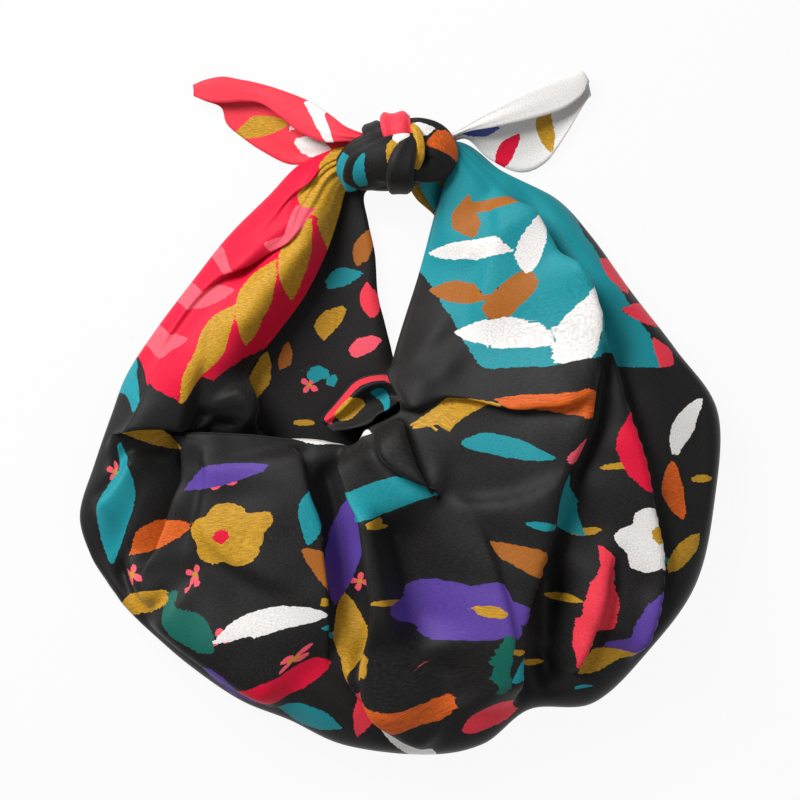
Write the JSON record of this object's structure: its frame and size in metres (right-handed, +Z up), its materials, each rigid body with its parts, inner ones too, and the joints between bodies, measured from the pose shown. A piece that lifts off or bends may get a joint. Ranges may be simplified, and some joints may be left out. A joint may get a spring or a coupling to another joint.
{
  "type": "furoshiki wrap bag",
  "caption": "Square of printed cloth tied into a soft shoulder bag, lying on its back, with a gathered pouch, an arm loop and a knot with free corners.",
  "frame": {"origin": "centre of the bounding box in plan, on the surface that the bag lies on", "axes": "+X to the right along the pouch, +Y from the bottom of the pouch to the knot, +Z up from the surface, out of the front of the bag"},
  "size_m": [0.4822, 0.5147, 0.076],
  "materials": {
    "printed_cloth": "smooth closely woven cloth with a soft sheen, printed in bright colours on charcoal black"
  },
  "bodies": {
    "root": {"cloth": "printed_cloth"}
  },
  "joints": []
}
